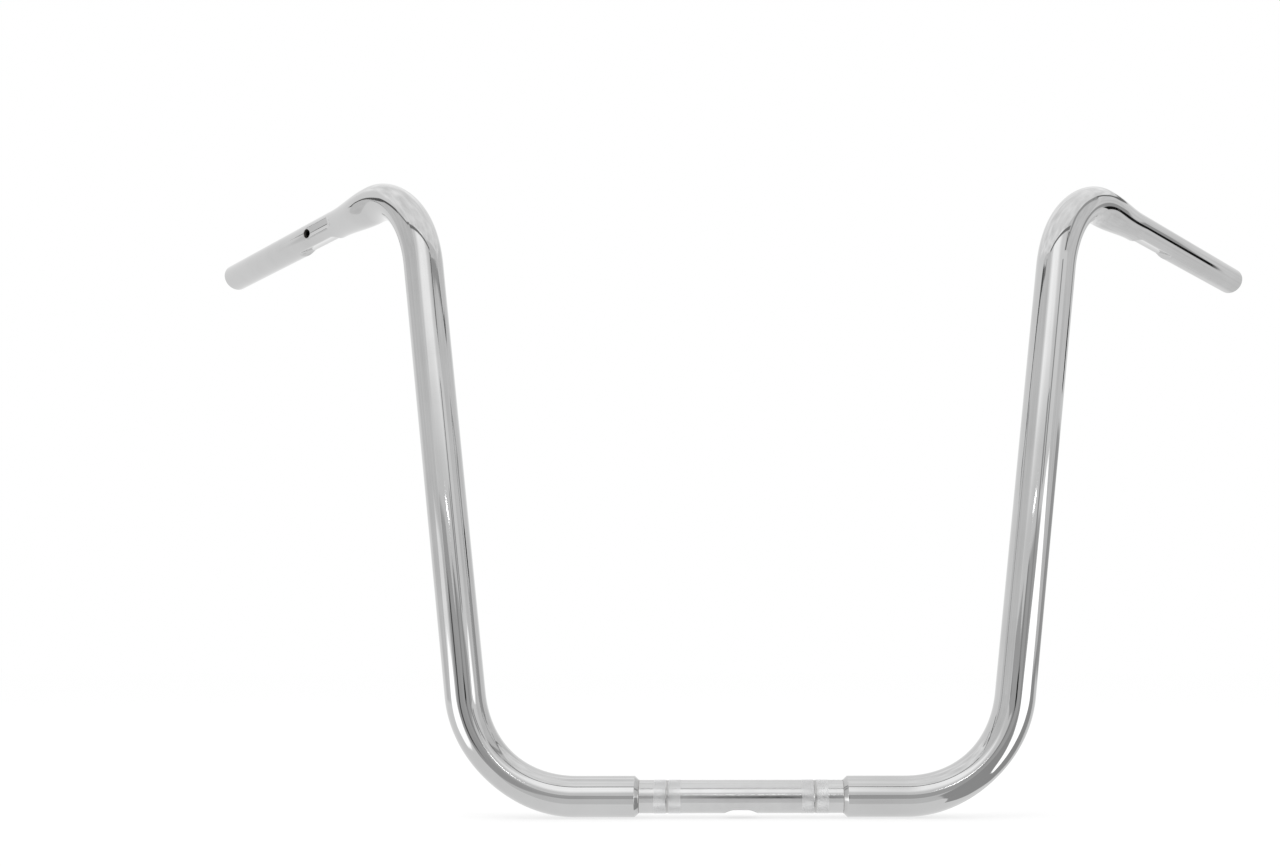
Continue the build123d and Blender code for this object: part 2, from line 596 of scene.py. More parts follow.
    def cut_opening(self, opening: Opening, grid: np.ndarray) -> set[tuple[int, int]]:
        """Lines an opening with faces, from the outside's grid to the bore's.

        Args:
            opening: The opening.
            grid: The stations' point numbers.

        Returns:
            The grid cells that the opening takes the place of, by station and side.
        """
        long_half, round_half = opening.half_block
        middle = int(np.argmin([abs(along - opening.along) for along, _ in self.outside]))
        side = round((opening.clock - self.first_clock) / FULL_TURN * self.sides)
        steps = [(i, -round_half) for i in range(-long_half, long_half)]
        steps += [(long_half, j) for j in range(-round_half, round_half)]
        steps += [(i, round_half) for i in range(long_half, -long_half, -1)]
        steps += [(-long_half, j) for j in range(round_half, -round_half, -1)]
        rows = np.array([middle + i for i, _ in steps])
        columns = np.array([(side + j) % self.sides for _, j in steps])
        mirrored = len(self.stations) - 1 - rows
        clock = self.first_clock + np.array([side + j for _, j in steps]) * FULL_TURN / self.sides
        turn = clock - opening.clock
        along = np.array([self.outside[row][0] for row in rows]) - opening.along
        outer_rings = self.opening_rings(opening, along, turn, in_bore=False)
        inner_rings = self.opening_rings(opening, along, turn, in_bore=True)
        ring = grid[rows, columns]
        for number, places in enumerate(outer_rings + inner_rings[::-1]):
            # painted shade and grime on the lip's round
            grime = LIP_GRIME_AND_SHADE if len(LIP_APPROACH) <= number < len(outer_rings) else 0.0
            next_ring = self.keep(places, np.full(len(places), grime))
            self.join(ring, next_ring, number >= len(outer_rings))
            ring = next_ring
        self.join(ring, grid[mirrored, columns], True)
        cells = {
            (middle + i, (side + j) % self.sides)
            for i in range(-long_half, long_half)
            for j in range(-round_half, round_half)
        }
        return cells | {(len(self.stations) - 2 - row, column) for row, column in cells}

    def build(self, name: str) -> bpy.types.Mesh:
        """Makes the closed mesh.

        Args:
            name: The mesh's name.

        Returns:
            The mesh, with a crevice attribute of painted shade and grime on its points and a bore attribute
            on its faces.
        """
        grid = self.lay_grid()
        gone: set[tuple[int, int]] = set()
        for opening in self.openings:
            gone |= self.cut_opening(opening, grid)
        last_outside = len(self.outside) - 1
        for row in range(len(self.stations)):
            next_row = (row + 1) % len(self.stations)
            for column in range(self.sides):
                next_column = (column + 1) % self.sides
                if (row, column) not in gone:
                    rows = (row, row, next_row, next_row)
                    columns = (column, next_column, next_column, column)
                    self.faces.append(tuple(grid[rows, columns].tolist()))
                    self.bore_faces.append(row >= last_outside)
        used = np.unique(np.array(self.faces))
        renumbered = np.zeros(self.count, int)
        renumbered[used] = np.arange(len(used))
        mesh = bpy.data.meshes.new(name)
        points = np.concatenate(self.points)[used]
        grime = np.concatenate(self.grime_marks)[used]
        mesh.from_pydata(points.tolist(), [], renumbered[np.array(self.faces)].tolist())
        mesh.attributes.new("crevice", "FLOAT", "POINT").data.foreach_set("value", grime)
        mesh.attributes.new("bore", "BOOLEAN", "FACE").data.foreach_set("value", self.bore_faces)
        mesh.shade_smooth()
        return mesh


def spread_evenly(start: float, end: float, step: float) -> list[float]:
    """Divides a length into equal steps of about a given size, and gives the places where they end."""
    spans = max(1, round(abs(end - start) / step))
    return [start + (end - start) * number / spans for number in range(1, spans + 1)]


def round_corner(corner: Spot, radius: float, before: float, after: float, steps: int = 4) -> Profile:
    """Rounds a corner of a turned profile.

    Args:
        corner: The sharp corner, as place along the tube and radius.
        radius: The round's radius.
        before: Heading of the line into the corner, in degrees.
        after: Heading of the line out of it.
        steps: Number of spans in the round.

    Returns:
        The points of the round.
    """
    turn = math.radians(after - before)
    cut = radius * math.tan(abs(turn) / 2)
    heading = math.radians(before)
    start = np.array(corner) - cut * np.array((math.cos(heading), math.sin(heading)))
    inside = heading + math.copysign(math.pi / 2, turn)
    centre = start + radius * np.array((math.cos(inside), math.sin(inside)))
    places = []
    for number in range(steps + 1):
        angle = inside + math.pi + turn * number / steps
        places.append(tuple(centre + radius * np.array((math.cos(angle), math.sin(angle)))))
    return places


@dataclass
class ClampTube:
    """The straight tube in the middle, with its wire slot and the grooves between knurling passes."""

    radius: float = 12.7 * MM
    wall: float = 3.0 * MM
    half_length: float = 118.0 * MM
    half_gap: float = 80.0 * MM
    end_chamfer: float = 0.8 * MM
    plain_step: float = 6.0 * MM
    slot_length: float = 25.4 * MM
    slot_width: float = 16.0 * MM
    slot_lip: float = 0.5 * MM
    slot_zone: float = 20.0 * MM
    slot_step: float = 4.0 * MM / 3
    slot_block: tuple[int, int] = (12, 18)
    groove_places: tuple[float, float] = (-57.3 * MM, 57.3 * MM)
    groove_width: float = 2.0 * MM
    groove_depth: float = 0.25 * MM
    # widths of the painted shade and grime at the grooves and at the shoulders
    groove_grime: float = 1.2 * MM
    shoulder_grime: float = 1.6 * MM
    name: str = "clamp_tube_chrome"

    def profile(self) -> tuple[Profile, Profile]:
        """Lays out the stations, which are close together at the slot and follow the grooves.

        Returns:
            The stations of the outside and those of the bore.
        """
        plain_end = self.half_length - self.end_chamfer
        outside = [(-self.half_length, self.radius - self.end_chamfer), (-plain_end, self.radius)]

        def run_to(end: float, step: float) -> None:
            """Adds plain stations up to a place."""
            outside.extend((x, self.radius) for x in spread_evenly(outside[-1][0], end, step))

        for middle in self.groove_places:
            if middle > 0:
                run_to(-self.slot_zone, self.plain_step)
                run_to(self.slot_zone, self.slot_step)
            edge = middle - self.groove_width / 2
            run_to(edge, self.plain_step)
            for share, depth in GROOVE_SHAPE:
                outside.append((edge + self.groove_width * share, self.radius - self.groove_depth * depth))
            outside.append((edge + self.groove_width, self.radius))
        run_to(plain_end, self.plain_step)
        outside.append((self.half_length, self.radius - self.end_chamfer))
        return outside, [(x, self.radius - self.wall) for x, _ in outside]

    def build(self, chrome: bpy.types.Material, bore_steel: bpy.types.Material) -> bpy.types.Object:
        """Makes the tube and dresses it.

        Args:
            chrome: Finish of the outside.
            bore_steel: Finish of the bore.

        Returns:
            The finished piece.
        """
        outside, bore = self.profile()
        slot = Opening(
            along=0.0,
            clock=-math.pi / 2,
            radius=self.slot_width / 2,
            half_straight=(self.slot_length - self.slot_width) / 2,
            half_block=self.slot_block,
            outer_radius=self.radius,
            inner_radius=self.radius - self.wall,
            lip=self.slot_lip,
        )
        # painted shade and grime at the grooves and at the bar tubes' shoulders
        grime = [(middle, self.groove_grime) for middle in self.groove_places]
        grime += [(self.half_gap * way, self.shoulder_grime) for way in (-1, 1)]
        shell = TubeShell(outside, bore, self.wall, first_clock=-math.pi / 2, openings=[slot], grime=grime)
        mesh = shell.build(self.name)
        mesh.materials.append(chrome)
        mesh.materials.append(bore_steel)
        mesh.polygons.foreach_set("material_index", np.array(shell.bore_faces, int))
        return add_piece(self.name, mesh)


@dataclass
class Bend:
    """One bend of a bar tube, as the tube bender makes it on the straight tube."""

    name: str
    start: float
    radius: float
    turn: float
    axis: Vector

    @property
    def inside(self) -> Vector:
        """Direction from the tube to the bend's centre."""
        return self.axis.cross(Vector((1, 0, 0)))

    @property
    def end(self) -> float:
        """Where the bend ends on the straight tube."""
        return self.start + self.radius * self.turn

    def inputs(self) -> dict[str, NodeValue]:
        """Gives the bend's values, by the names of the tube bender's inputs."""
        values = (self.start, self.radius, self.turn, tuple(self.axis), tuple(self.inside))
        return {f"{self.name} {name}": value for name, value in zip(BEND_INPUTS, values)}


BEND_INPUTS = {"Start": "Float", "Radius": "Float", "Turn": "Float", "Axis": "Vector", "Inside": "Vector"}
OVAL_INPUTS = {"Flattening": "Float", "Spread": "Float"}


def build_bend_group() -> bpy.types.GeometryNodeTree:
    """Builds the group that makes one bend, and lets the tube go oval in it.

    Returns:
        The geometry node group.
    """
    tree = bpy.data.node_groups.new("one_bend", "GeometryNodeTree")
    graph = Graph(tree)
    graph.sockets({"Geometry": "Geometry", "Along": "Float"} | BEND_INPUTS | OVAL_INPUTS)
    graph.sockets({"Geometry": "Geometry"}, is_output=True)
    given = graph.add("NodeGroupInput").outputs
    place = graph.add("GeometryNodeInputPosition").outputs["Position"]
    parts = graph.add("ShaderNodeSeparateXYZ", {0: place}).outputs
    angle = graph.math("DIVIDE", graph.math("SUBTRACT", given["Along"], given["Start"]), given["Radius"])
    angle = graph.math("MINIMUM", graph.math("MAXIMUM", angle, 0.0), given["Turn"])
    share = graph.math("DIVIDE", angle, given["Turn"])
    half_wave = graph.math("SINE", graph.math("MULTIPLY", share, math.pi))
    swell = graph.math("MULTIPLY", half_wave, half_wave)
    section = graph.combine(Y=parts["Y"], Z=parts["Z"])
    wider = graph.vector("DOT_PRODUCT", section, given["Axis"])
    wider = graph.math("MULTIPLY", wider, graph.math("MULTIPLY", given["Spread"], swell))
    flatter = graph.vector("DOT_PRODUCT", section, given["Inside"])
    flatter = graph.math("MULTIPLY", flatter, graph.math("MULTIPLY", given["Flattening"], swell))
    place = graph.vector("ADD", place, graph.vector("SCALE", given["Axis"], wider))
    place = graph.vector("SUBTRACT", place, graph.vector("SCALE", given["Inside"], flatter))
    drawn_in = graph.combine(X=graph.math("MULTIPLY", angle, given["Radius"]))
    start = graph.combine(X=given["Start"])
    centre = graph.vector("ADD", start, graph.vector("SCALE", given["Inside"], given["Radius"]))
    turned = graph.add(
        "ShaderNodeVectorRotate",
        {
            "Vector": graph.vector("SUBTRACT", place, drawn_in),
            "Center": centre,
            "Axis": given["Axis"],
            "Angle": angle,
        },
        rotation_type="AXIS_ANGLE",
    )
    new_place = {"Geometry": given["Geometry"], "Position": turned.outputs[0]}
    moved = graph.add("GeometryNodeSetPosition", new_place)
    graph.add("NodeGroupOutput", {"Geometry": moved.outputs[0]})
    return tree


def build_bender_tree(bends: tuple[str, ...]) -> bpy.types.GeometryNodeTree:
    """Builds the tube bender: it bends a straight tube, the last bend first, and dresses it.

    Args:
        bends: The bends' names, from the clamp outwards.

    Returns:
        The geometry node tree.
    """
    tree = bpy.data.node_groups.new("tube_bender", "GeometryNodeTree")
    graph = Graph(tree)
    graph.sockets({"Geometry": "Geometry"})
    for bend in bends:
        graph.sockets({f"{bend} {name}": kind for name, kind in BEND_INPUTS.items()})
    graph.sockets(OVAL_INPUTS | {"Outside Finish": "Material", "Bore Finish": "Material"})
    graph.sockets({"Geometry": "Geometry"}, is_output=True)
    given = graph.add("NodeGroupInput").outputs
    place = graph.add("GeometryNodeInputPosition").outputs["Position"]
    capture = graph.add("GeometryNodeCaptureAttribute", {"Geometry": given["Geometry"]}, domain="POINT")
    capture.capture_items.new("FLOAT", "Along")
    graph.feed(capture.inputs["Along"], graph.add("ShaderNodeSeparateXYZ", {0: place}).outputs["X"])
    shape = capture.outputs["Geometry"]
    one_bend = build_bend_group()
    for bend in reversed(bends):
        inputs = {"Geometry": shape, "Along": capture.outputs["Along"]}
        inputs |= {name: given[f"{bend} {name}"] for name in BEND_INPUTS}
        inputs |= {name: given[name] for name in OVAL_INPUTS}
        shape = graph.add("GeometryNodeGroup", inputs, node_tree=one_bend).outputs["Geometry"]
    in_bore = graph.add("GeometryNodeInputNamedAttribute", {"Name": "bore"}, data_type="BOOLEAN").outputs[0]
    real = graph.add("GeometryNodeRealizeInstances", {"Geometry": shape}).outputs[0]
    plated = graph.dress(real, given["Outside Finish"])
    dressed = graph.dress(plated, given["Bore Finish"], in_bore)
    graph.add("NodeGroupOutput", {"Geometry": dressed})
    return tree


@dataclass
class BarTube:
    """A bar tube: welded shoulder, lower bend, riser, upper bend, swage and hand grip."""

    side: Side
    shoulder: float = 80.0 * MM
    radius: float = 15.875 * MM
    bore_radius: float = 12.8 * MM
    clamp_radius: float = 12.7 * MM
    shoulder_land: float = 0.475 * MM
    shoulder_round: float = 0.8 * MM
    weld_round: float = 1.2 * MM
    shoulder_run: float = 48.0 * MM
    lower_bend_radius: float = 88.9 * MM
    riser_lean: float = 7.0
    riser_length: float = 350.0 * MM
    upper_bend_radius: float = 76.2 * MM
    grip_sweep: float = 47.5
    flattening: float = 0.09
    spread: float = 0.035
    swage_lead: float = 5.0 * MM
    swage_length: float = 60.0 * MM
    grip_radius: float = 12.7 * MM
    grip_length: float = 225.0 * MM
    rim_round: float = 0.8 * MM
    # width of the painted shade and grime at the weld
    weld_grime: float = 0.9 * MM
    shoulder_step: float = 0.4 * MM
    run_step: float = 8.0 * MM
    lower_bend_step: float = 2.0 * MM
    riser_step: float = 12.0 * MM
    upper_bend_step: float = 1.9 * MM
    lead_step: float = 2.5 * MM
    swage_step: float = 1.6 * MM
    dimple_step: float = 0.8 * MM
    dimple_zone: tuple[float, float] = (235.2 * MM, 145.6 * MM)
    grip_step: float = 10.0 * MM
    rim_step: float = 0.3 * MM
    under_dimple: Dimple = Dimple(
        inset=187.0 * MM, degrees=112.0, length=72.0 * MM, radius=40.0 * MM, depth=4.0 * MM, hole_end=-1
    )
    front_dimple: Dimple = Dimple(
        inset=205.0 * MM, degrees=9.0, length=50.0 * MM, radius=7.0 * MM, depth=2.2 * MM, hole_end=1
    )
    hole_radius: float = 4.0 * MM
    hole_margin: float = 4.0 * MM
    hole_lip: float = 0.4 * MM
    hole_block: tuple[int, int] = (8, 11)

    def __post_init__(self) -> None:
        """Works out the two bends and the straight tube's places."""
        lean = math.radians(self.riser_lean)
        sweep = math.radians(self.grip_sweep)
        out = Vector((1, 0, 0))
        riser = Vector((math.sin(lean), 0, math.cos(lean)))
        grip = Vector((math.cos(sweep), math.sin(sweep), 0))
        lower_axis = out.cross(riser).normalized()
        lower_turn = out.angle(riser)
        unbend = Matrix.Rotation(-lower_turn, 3, lower_axis)
        upper_axis = (unbend @ riser.cross(grip)).normalized()
        upper_turn = riser.angle(grip)
        lower_start = self.shoulder + self.shoulder_run
        self.lower = Bend("Lower", lower_start, self.lower_bend_radius, lower_turn, lower_axis)
        upper_start = self.lower.end + self.riser_length
        self.upper = Bend("Upper", upper_start, self.upper_bend_radius, upper_turn, upper_axis)
        self.swage_start = self.upper.end + self.swage_lead
        self.grip_start = self.swage_start + self.swage_length
        self.grip_end = self.grip_start + self.grip_length
        self.wall = self.radius - self.bore_radius
        straighten = Matrix.Rotation(-upper_turn, 3, upper_axis) @ unbend
        front = straighten @ grip.cross(Vector((0, 0, 1)))
        down = straighten @ Vector((0, 0, -1))
        self.front_clock = math.atan2(front.z, front.y)
        self.clock_way = 1 if front.cross(down).x > 0 else -1

    def clock(self, degrees: float) -> float:
        """Gives the angle round the straight tube of a place on the grip, turned down from its front."""
        return self.front_clock + self.clock_way * math.radians(degrees)

    def swaged(self, along: float, start: float, end: float) -> float:
        """Gives a radius in the swage.

        Args:
            along: Place on the straight tube.
            start: Radius before the swage.
            end: Radius after it.

        Returns:
            The radius, on an S curve between the two.
        """
        share = min(max((along - self.swage_start) / self.swage_length, 0.0), 1.0)
        return start + (end - start) * share * share * (3 - 2 * share)

    def profile(self) -> tuple[Profile, Profile]:
        """Lays out the stations, with the welded shoulder and the rounded rim.

        Returns:
            The stations of the outside and those of the bore.
        """
        foot = (self.shoulder - self.bore_radius - self.shoulder_land + self.clamp_radius, self.clamp_radius)
        crest = (foot[0] + self.radius - self.clamp_radius, self.radius)
        shoulder = round_corner(foot, self.weld_round, 0.0, 45.0)
        shoulder += round_corner(crest, self.shoulder_round, 45.0, 0.0)
        rim = round_corner((self.grip_end, self.grip_radius), self.rim_round, 0.0, -90.0)
        bore_rim = round_corner((self.grip_end, self.grip_radius - self.wall), self.rim_round, -90.0, -180.0)
        places = [shoulder[-1][0] + self.shoulder_step]
        for end, step in (
            (self.lower.start, self.run_step),
            (self.lower.end, self.lower_bend_step),
            (self.upper.start, self.riser_step),
            (self.upper.end, self.upper_bend_step),
            (self.swage_start, self.lead_step),
            (self.grip_end - self.dimple_zone[0], self.swage_step),
            (self.grip_end - self.dimple_zone[1], self.dimple_step),
            (rim[0][0] - self.rim_step, self.grip_step),
        ):
            places += spread_evenly(places[-1], end, step)
        outside = shoulder + [(x, self.swaged(x, self.radius, self.grip_radius)) for x in places] + rim
        sleeve_places = np.linspace(self.shoulder, shoulder[-1][0], len(shoulder))
        shoulder_bore = [(x, self.bore_radius) for x in sleeve_places]
        grip_bore = self.grip_radius - self.wall
        bore = shoulder_bore + [(x, self.swaged(x, self.bore_radius, grip_bore)) for x in places]
        return outside, bore + bore_rim[::-1]

    def wiring(self) -> tuple[list[tuple[Dimple, float, float]], list[Opening]]:
        """Gives the grip's dimples with their places, and the wire hole at one end of each.

        Both grips have the underside dimple, and the right grip has the front one as well.

        Returns:
            The dimples, each with its place along the tube and its angle round it, and the holes.
        """
        pressed = []
        holes = []
        for dimple in (self.under_dimple, self.front_dimple)[: 2 if self.side is Side.RIGHT else 1]:
            along = self.grip_end - dimple.inset
            clock = self.clock(dimple.degrees)
            pressed.append((dimple, along, clock))
            hole = Opening(
                along=along + dimple.hole_end * (dimple.length / 2 - self.hole_margin),
                clock=clock,
                radius=self.hole_radius,
                half_straight=0.0,
                half_block=self.hole_block,
                outer_radius=self.grip_radius,
                inner_radius=self.grip_radius - self.wall,
                lip=self.hole_lip,
            )
            holes.append(hole)
        return pressed, holes

    def build(
        self, bender: bpy.types.GeometryNodeTree, chrome: bpy.types.Material, bore_steel: bpy.types.Material
    ) -> bpy.types.Object:
        """Makes the straight tube, bends it and dresses it.

        Args:
            bender: The tube bender's tree.
            chrome: Finish of the outside.
            bore_steel: Finish of the bore.

        Returns:
            The finished piece.
        """
        outside, bore = self.profile()
        dimples, holes = self.wiring()
        shell = TubeShell(
            outside,
            bore,
            self.wall,
            first_clock=self.front_clock,
            dimples=dimples,
            openings=holes,
            # the weld at the shoulder gets painted shade and grime
            grime=[(outside[1][0], self.weld_grime)],
        )
        name = f"{self.side.node}_chrome"
        piece = add_piece(name, shell.build(name))
        values = self.lower.inputs() | self.upper.inputs()
        values |= {
            "Flattening": self.flattening,
            "Spread": self.spread,
            "Outside Finish": chrome,
            "Bore Finish": bore_steel,
        }
        apply_nodes(piece, bender, values)
        if self.side is Side.RIGHT:
            piece.data.transform(Matrix.Scale(-1, 4, (1, 0, 0)))
            piece.data.flip_normals()
        return piece


@dataclass
class Knurling:
    """The two knurled bands that keep the bar from turning in its clamps, each rolled in two passes."""

    tube_radius: float = 12.7 * MM
    band_middle: float = 57.3 * MM
    band_width: float = 21.2 * MM
    pass_gap: float = 2.2 * MM
    teeth_round: int = 84
    row_pitch: float = 0.475 * MM
    tooth_height: float = 0.17 * MM
    tooth_root: float = 0.05 * MM
    name: str = "clamp_knurling"

    def tree(self) -> bpy.types.GeometryNodeTree:
        """Builds the tree that sets pyramid teeth in staggered rows round the tube.

        Returns:
            The geometry node tree.
        """
        tree = bpy.data.node_groups.new("knurling", "GeometryNodeTree")
        graph = Graph(tree)
        lengths = ("Tube Radius", "Band Middle", "Pass Middle", "Row Pitch", "Tooth Height", "Tooth Root")
        graph.sockets({"Geometry": "Geometry", "Rows": "Int", "Teeth Round": "Int", "Finish": "Material"})
        graph.sockets(dict.fromkeys(lengths, "Float"))
        graph.sockets({"Geometry": "Geometry"}, is_output=True)
        given = graph.add("NodeGroupInput").outputs
        index = graph.add("GeometryNodeInputIndex").outputs[0]
        per_pass = graph.math("MULTIPLY", given["Rows"], given["Teeth Round"])
        teeth_count = graph.math("MULTIPLY", per_pass, KNURLING_PASSES)
        points = graph.add("GeometryNodePoints", {"Count": teeth_count}).outputs[0]
        pass_number = graph.math("FLOOR", graph.math("DIVIDE", index, per_pass))
        in_pass = graph.math("MODULO", index, per_pass)
        row = graph.math("FLOOR", graph.math("DIVIDE", in_pass, given["Teeth Round"]))
        tooth = graph.math("MODULO", in_pass, given["Teeth Round"])
        stagger = graph.math("MULTIPLY", graph.math("MODULO", row, 2.0), 0.5)
        share = graph.math("DIVIDE", graph.math("ADD", tooth, stagger), given["Teeth Round"])
        clock = graph.math("MULTIPLY", share, FULL_TURN)
        middle_row = graph.math("MULTIPLY", graph.math("SUBTRACT", given["Rows"], 1.0), 0.5)
        from_middle = graph.math("MULTIPLY", graph.math("SUBTRACT", row, middle_row), given["Row Pitch"])
        band_number = graph.math("FLOOR", graph.math("DIVIDE", pass_number, 2.0))
        band_way = graph.math("MULTIPLY_ADD", band_number, 2.0, -1.0)
        pass_way = graph.math("MULTIPLY_ADD", graph.math("MODULO", pass_number, 2.0), 2.0, -1.0)
        band = graph.math("MULTIPLY", band_way, given["Band Middle"])
        pass_middle = graph.math("MULTIPLY_ADD", pass_way, given["Pass Middle"], band)
        along = graph.math("ADD", pass_middle, from_middle)
        foot = graph.math("SUBTRACT", given["Tube Radius"], given["Tooth Root"])
        place = graph.combine(
            X=along,
            Y=graph.math("MULTIPLY", foot, graph.math("COSINE", clock)),
            Z=graph.math("MULTIPLY", foot, graph.math("SINE", clock)),
        )
        tilt = graph.combine(X=graph.math("SUBTRACT", clock, math.pi / 2))
        turn = graph.add("FunctionNodeEulerToRotation", {0: tilt}).outputs[0]
        pitch_round = graph.math("DIVIDE", graph.math("MULTIPLY", foot, math.pi), given["Teeth Round"])
        full_height = graph.math("ADD", given["Tooth Height"], given["Tooth Root"])
        tooth_size = graph.combine(X=given["Row Pitch"], Y=pitch_round, Z=full_height)
        pyramid = graph.add(
            "GeometryNodeMeshCone",
            {"Vertices": 4, "Radius Top": 0.0, "Radius Bottom": 1.0, "Depth": 1.0},
            fill_type="NGON",
        ).outputs["Mesh"]
        placed = graph.add("GeometryNodeSetPosition", {"Geometry": points, "Position": place}).outputs[0]
        teeth = graph.add(
            "GeometryNodeInstanceOnPoints",
            {"Points": placed, "Instance": pyramid, "Rotation": turn, "Scale": tooth_size},
        ).outputs[0]
        real = graph.add("GeometryNodeRealizeInstances", {"Geometry": teeth}).outputs[0]
        graph.add("NodeGroupOutput", {"Geometry": graph.dress(real, given["Finish"])})
        return tree

    def build(self, finish: bpy.types.Material) -> bpy.types.Object:
        """Makes the teeth of both bands as one piece.

        Args:
            finish: The knurling's finish.

        Returns:
            The finished piece.
        """
        pass_width = (self.band_width - self.pass_gap) / 2
        values = {
            "Tube Radius": self.tube_radius,
            "Band Middle": self.band_middle,
            "Pass Middle": (pass_width + self.pass_gap) / 2,
            "Rows": int(pass_width / self.row_pitch) - 1,
            "Teeth Round": self.teeth_round,
            "Row Pitch": self.row_pitch,
            "Tooth Height": self.tooth_height,
            "Tooth Root": self.tooth_root,
            "Finish": finish,
        }
        piece = add_piece(self.name, bpy.data.meshes.new(self.name))
        apply_nodes(piece, self.tree(), values)
        return piece


def build_card_group() -> bpy.types.ShaderNodeTree:
    """Builds the shared group for how a studio card shows: its soft edge and the creases of its cloth.

    Returns:
        The shader node group.
    """
    tree = bpy.data.node_groups.new("card_cloth", "ShaderNodeTree")
    graph = Graph(tree)
    graph.sockets({"Creases": "Float", "Crease Scale": "Float"})
    graph.sockets({"Colour": "Color", "Cover": "Float"}, is_output=True)
    given = graph.add("NodeGroupInput").outputs
    place = graph.add("ShaderNodeTexCoord").outputs["Object"]
    cover = graph.add("ShaderNodeAttribute", attribute_name="cover").outputs["Fac"]
    crease = graph.noise(place, given["Crease Scale"], detail=3.0)
    shade = graph.math("SUBTRACT", 1.0, graph.math("MULTIPLY", crease, given["Creases"]))
    colour = graph.add("ShaderNodeCombineColor", {0: shade, 1: shade, 2: shade}).outputs[0]
    graph.add("NodeGroupOutput", {"Colour": colour, "Cover": graph.ramp(cover, 0.0, 1.0)})
    return tree


def sight(eye: Place, reach: float, *angles: tuple[float, float]) -> tuple[Place, ...]:
    """Gives the places that lie in some directions from a point on the bar.

    Args:
        eye: The point on the bar.
        reach: How far away the places are.
        *angles: Azimuth and elevation of each in degrees. Azimuth 0 is to the front, and 90 to the rider's
            left.

    Returns:
        The places.
    """
    places = []
    for azimuth, elevation in angles:
        level_reach = reach * math.cos(math.radians(elevation))
        x = eye[0] + level_reach * math.sin(math.radians(azimuth))
        y = eye[1] - level_reach * math.cos(math.radians(azimuth))
        places.append((x, y, eye[2] + reach * math.sin(math.radians(elevation))))
    return tuple(places)


def upright(left: Spot, right: Spot, low: float, high: float) -> tuple[Place, ...]:
    """Gives the corners of an upright card, from where its two sides stand and its edges' heights."""
    return ((*left, low), (*right, low), (*right, high), (*left, high))


@dataclass(frozen=True)
class StudioCard:
    """A piece of the tent round the bar that only the polished metal sees.

    A card with a throw fades out for metal that is further away, as a lamp behind a grid does.
    """

    name: str
    level: float
    corners: tuple[Place, ...]
    softness: float = 0.04
    creases: float = 0.1
    crease_scale: float = 5.0
    throw: float | None = None
    throw_fade: float = 0.12

    def shape(self) -> tuple[list[Vector], list[float], list[tuple[int, ...]]]:
        """Lays out the card as a fan of faces with a soft rim round it.

        Returns:
            The points, how much of the card shows at each, and the faces.
        """
        inner = [Vector(corner) for corner in self.corners]
        count = len(inner)
        middle = sum(inner, Vector()) / count
        spokes = [corner - middle for corner in inner]
        facing = sum((spokes[number - 1].cross(spokes[number]) for number in range(count)), Vector())
        outer = []
        for number, corner in enumerate(inner):
            before = (corner - inner[number - 1]).cross(facing).normalized()
            after = (inner[(number + 1) % count] - corner).cross(facing).normalized()
            outer.append(corner + (before + after) * (self.softness / (1.0 + before.dot(after))))
        faces = []
        for number in range(count):
            after = (number + 1) % count
            faces.append((2 * count, number, after))
            faces.append((number, count + number, count + after, after))
        return inner + outer + [middle], [1.0] * count + [0.0] * count + [1.0], faces

    def build(self, cloth: bpy.types.ShaderNodeTree) -> bpy.types.Object:
        """Makes the card.

        Args:
            cloth: The shared card group.

        Returns:
            The card's object.
        """
        points, cover, faces = self.shape()
        mesh = bpy.data.meshes.new(self.name)
        mesh.from_pydata([tuple(point) for point in points], [], faces)
        mesh.attributes.new("cover", "FLOAT", "POINT").data.foreach_set("value", cover)
        material, graph, shader = start_material(self.name)
        shader.inputs["Base Color"].default_value = BLACK
        shader.inputs["Specular IOR Level"].default_value = 0.0
        shader.inputs["Emission Strength"].default_value = self.level
        values = {"Creases": self.creases, "Crease Scale": self.crease_scale}
        made = graph.add("ShaderNodeGroup", values, node_tree=cloth).outputs
        graph.feed(shader.inputs["Emission Color"], made["Colour"])
        cover_shown = made["Cover"]
        if self.throw is not None:
            distance = graph.add("ShaderNodeLightPath").outputs["Ray Length"]
            in_reach = graph.ramp(distance, self.throw + self.throw_fade, self.throw)
            cover_shown = graph.math("MULTIPLY", cover_shown, in_reach)
        graph.feed(shader.inputs["Alpha"], cover_shown)
        mesh.materials.append(material)
        card = add_piece(self.name, mesh)
        card.visible_camera = False
        card.visible_diffuse = False
        card.visible_transmission = False
        card.visible_shadow = False
        return card


@dataclass(frozen=True)
class StudioSeam(StudioCard):
    """A seam or rod of the tent, as a ribbon along its corners that faces the bar.

    Its width and its softness are for a place one metre from the bar, and grow with the distance.
    """

    width: float = 0.06
    faces_to: Place = (0.0, 0.0, 0.3)

    def shape(self) -> tuple[list[Vector], list[float], list[tuple[int, ...]]]:
        """Lays out the ribbon in four rows, the outer two of which are its soft edges.

        Returns:
            The points, how much of the ribbon shows at each, and the faces.
        """
        path = [Vector(corner) for corner in self.corners]
        points = []
        for number, place in enumerate(path):
            along = path[min(number + 1, len(path) - 1)] - path[max(number - 1, 0)]
            away = place - Vector(self.faces_to)
            across = along.cross(away).normalized() * away.length
            inside = self.width / 2
            outside = inside + self.softness
            points += [place + across * reach for reach in (-outside, -inside, inside, outside)]
        cover = [0.0, 1.0, 1.0, 0.0] * len(path)
        faces = []
        for first in range(0, len(points) - 4, 4):
            faces += [(first + row, first + row + 1, first + row + 5, first + row + 4) for row in range(3)]
        return points, cover, faces


# Points on the bar that some cards are laid out from
LEFT_LOW = (-0.215, 0.0, 0.08)
LEFT_TOP = (-0.28, 0.0, 0.47)
RIGHT_LOW = (0.215, 0.0, 0.08)
RIGHT_TOP = (0.28, 0.0, 0.47)
RIGHT_GRIP = (0.4, 0.12, 0.49)


